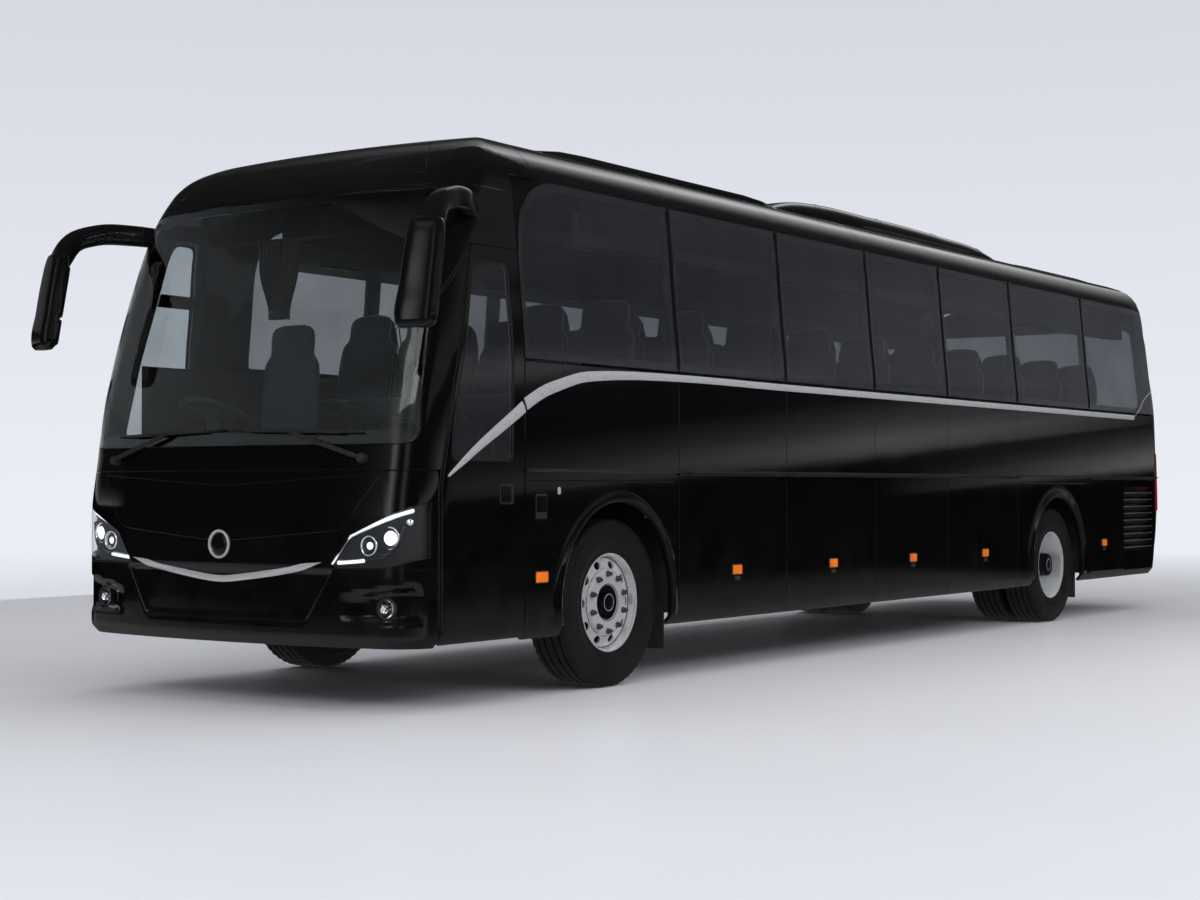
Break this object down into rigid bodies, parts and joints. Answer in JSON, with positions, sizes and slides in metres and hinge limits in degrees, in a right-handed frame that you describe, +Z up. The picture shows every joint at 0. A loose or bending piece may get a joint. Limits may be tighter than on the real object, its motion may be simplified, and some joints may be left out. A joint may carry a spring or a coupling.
{
  "type": "touring coach bus",
  "caption": "Full-size touring coach with passenger door, steered front wheels, twin rear wheels, luggage flaps, seats and roof air unit.",
  "frame": {"origin": "on the ground under the centre of the whole vehicle, mirrors included", "axes": "+Z up, -Y the way the bus drives, +X the bus's own left side"},
  "size_m": [3.0184, 11.6798, 3.2719],
  "materials": {
    "paint": "gloss",
    "glass": "dark tinted",
    "bright": "satin",
    "lens": "clear",
    "tail_lens": "gloss",
    "steel": "matt black chassis paint",
    "floor": "covered ply",
    "plastic": "moulded",
    "gloss_plastic": "gloss",
    "rubber": "matt",
    "tyre": "matt",
    "alloy": "polished",
    "iron": "painted",
    "fabric": "woven"
  },
  "bodies": {
    "body": {"air_unit": "paint", "arch_flares": "gloss_plastic", "arch_panels": "paint", "bright_trim": "bright", "bumper": "paint", "cabin_floor": "floor", "chassis_rails": "steel", "dashboard": "plastic", "driver_seat": "fabric", "engine_block": "iron", "front_axle": "iron", "front_dome": "paint", "front_lamps": "lens", "front_mask": "paint", "hinge_rails": "steel", "luggage_bay": "steel", "luggage_racks": "plastic", "mirrors": "gloss_plastic", "mudflaps": "rubber", "rear_axle": "iron", "rear_cap": "paint", "rear_corners": "paint", "roof": "paint", "seat_backs": "fabric", "seat_cushions": "fabric", "tail_lamps": "tail_lens", "waist_panels": "paint", "wheel_wells": "steel", "window_frames": "paint", "windows": "glass", "windscreen": "glass", "windscreen_frame": "paint", "wipers": "plastic"},
    "door_arm": {"door_arm": "steel"},
    "door": {"door_panel": "paint", "door_glass": "glass"},
    "knuckle_left": {"knuckle_left": "iron"},
    "knuckle_right": {"knuckle_right": "iron"},
    "tie_rod": {"tie_rod": "iron"},
    "wheel_front_left": {"tyre_front_left": "tyre", "rim_front_left": "alloy"},
    "wheel_front_right": {"tyre_front_right": "tyre", "rim_front_right": "alloy"},
    "wheels_rear_left": {"tyres_rear_left": "tyre", "rims_rear_left": "alloy"},
    "wheels_rear_right": {"tyres_rear_right": "tyre", "rims_rear_right": "alloy"},
    "engine_lid": {"engine_lid": "paint"},
    "luggage_flap_left_1": {"luggage_flap_left_1": "paint"},
    "luggage_flap_left_2": {"luggage_flap_left_2": "paint"},
    "luggage_flap_left_3": {"luggage_flap_left_3": "paint"},
    "luggage_flap_left_4": {"luggage_flap_left_4": "paint"},
    "service_flap_left": {"service_flap_left": "paint"},
    "grille_door_left": {"grille_door_left": "paint"},
    "luggage_flap_right_1": {"luggage_flap_right_1": "paint"},
    "luggage_flap_right_2": {"luggage_flap_right_2": "paint"},
    "luggage_flap_right_3": {"luggage_flap_right_3": "paint"},
    "luggage_flap_right_4": {"luggage_flap_right_4": "paint"},
    "service_flap_right": {"service_flap_right": "paint"},
    "grille_door_right": {"grille_door_right": "paint"}
  },
  "joints": [
    {"name": "steer_left", "type": "hinge", "parent": "body", "child": "knuckle_left", "pos_m": [0.9, -3.78, 0.492], "axis": [0, 0, 1], "range_deg": [-38, 38]},
    {"name": "steer_right", "type": "hinge", "parent": "body", "child": "knuckle_right", "pos_m": [-0.9, -3.78, 0.492], "axis": [0, 0, 1], "range_deg": [-38, 38]},
    {"name": "tie_rod_turn", "type": "hinge", "parent": "knuckle_left", "child": "tie_rod", "pos_m": [0.9, -3.58, 0.372], "axis": [0, 0, 1], "range_deg": [-38, 38]},
    {"name": "spin_front_left", "type": "hinge", "parent": "knuckle_left", "child": "wheel_front_left", "pos_m": [1.0925, -3.78, 0.492], "axis": [1, 0, 0], "continuous": true},
    {"name": "spin_front_right", "type": "hinge", "parent": "knuckle_right", "child": "wheel_front_right", "pos_m": [-1.0925, -3.78, 0.492], "axis": [1, 0, 0], "continuous": true},
    {"name": "spin_rear_left", "type": "hinge", "parent": "body", "child": "wheels_rear_left", "pos_m": [0.935, 3.04, 0.492], "axis": [1, 0, 0], "continuous": true},
    {"name": "spin_rear_right", "type": "hinge", "parent": "body", "child": "wheels_rear_right", "pos_m": [-0.935, 3.04, 0.492], "axis": [1, 0, 0], "continuous": true},
    {"name": "luggage_flap_left_1_lift", "type": "hinge", "parent": "body", "child": "luggage_flap_left_1", "pos_m": [1.287, -2.45, 1.242], "axis": [0, -1, 0], "range_deg": [0, 85]},
    {"name": "luggage_flap_left_2_lift", "type": "hinge", "parent": "body", "child": "luggage_flap_left_2", "pos_m": [1.287, -1.125, 1.242], "axis": [0, -1, 0], "range_deg": [0, 85]},
    {"name": "luggage_flap_left_3_lift", "type": "hinge", "parent": "body", "child": "luggage_flap_left_3", "pos_m": [1.287, 0.155, 1.242], "axis": [0, -1, 0], "range_deg": [0, 85]},
    {"name": "luggage_flap_left_4_lift", "type": "hinge", "parent": "body", "child": "luggage_flap_left_4", "pos_m": [1.287, 1.47, 1.242], "axis": [0, -1, 0], "range_deg": [0, 85]},
    {"name": "service_flap_left_lift", "type": "hinge", "parent": "body", "child": "service_flap_left", "pos_m": [1.287, 4.225, 1.242], "axis": [0, -1, 0], "range_deg": [0, 85]},
    {"name": "grille_door_left_lift", "type": "hinge", "parent": "body", "child": "grille_door_left", "pos_m": [1.287, 5.09, 1.242], "axis": [0, -1, 0], "range_deg": [0, 85]},
    {"name": "luggage_flap_right_1_lift", "type": "hinge", "parent": "body", "child": "luggage_flap_right_1", "pos_m": [-1.287, -2.45, 1.242], "axis": [0, 1, 0], "range_deg": [0, 85]},
    {"name": "luggage_flap_right_2_lift", "type": "hinge", "parent": "body", "child": "luggage_flap_right_2", "pos_m": [-1.287, -1.125, 1.242], "axis": [0, 1, 0], "range_deg": [0, 85]},
    {"name": "luggage_flap_right_3_lift", "type": "hinge", "parent": "body", "child": "luggage_flap_right_3", "pos_m": [-1.287, 0.155, 1.242], "axis": [0, 1, 0], "range_deg": [0, 85]},
    {"name": "luggage_flap_right_4_lift", "type": "hinge", "parent": "body", "child": "luggage_flap_right_4", "pos_m": [-1.287, 1.47, 1.242], "axis": [0, 1, 0], "range_deg": [0, 85]},
    {"name": "service_flap_right_lift", "type": "hinge", "parent": "body", "child": "service_flap_right", "pos_m": [-1.287, 4.225, 1.242], "axis": [0, 1, 0], "range_deg": [0, 85]},
    {"name": "grille_door_right_lift", "type": "hinge", "parent": "body", "child": "grille_door_right", "pos_m": [-1.287, 5.09, 1.242], "axis": [0, 1, 0], "range_deg": [0, 85]},
    {"name": "engine_lid_lift", "type": "hinge", "parent": "body", "child": "engine_lid", "pos_m": [0, 5.8245, 1.489], "axis": [1, 0, 0], "range_deg": [0, 70]},
    {"name": "door_arm_swing", "type": "hinge", "parent": "body", "child": "door_arm", "pos_m": [1.15, -5.2, 0.9], "axis": [0, 0, -1], "range_deg": [0, 115]},
    {"name": "door_turn", "type": "hinge", "parent": "door_arm", "child": "door", "pos_m": [1.15, -4.75, 0.9], "axis": [0, 0, -1], "range_deg": [-115, 0]}
  ],
  "couplings": [
    {"joint": "steer_right", "follows": "steer_left", "ratio": 1},
    {"joint": "tie_rod_turn", "follows": "steer_left", "ratio": -1},
    {"joint": "door_turn", "follows": "door_arm_swing", "ratio": -1}
  ]
}
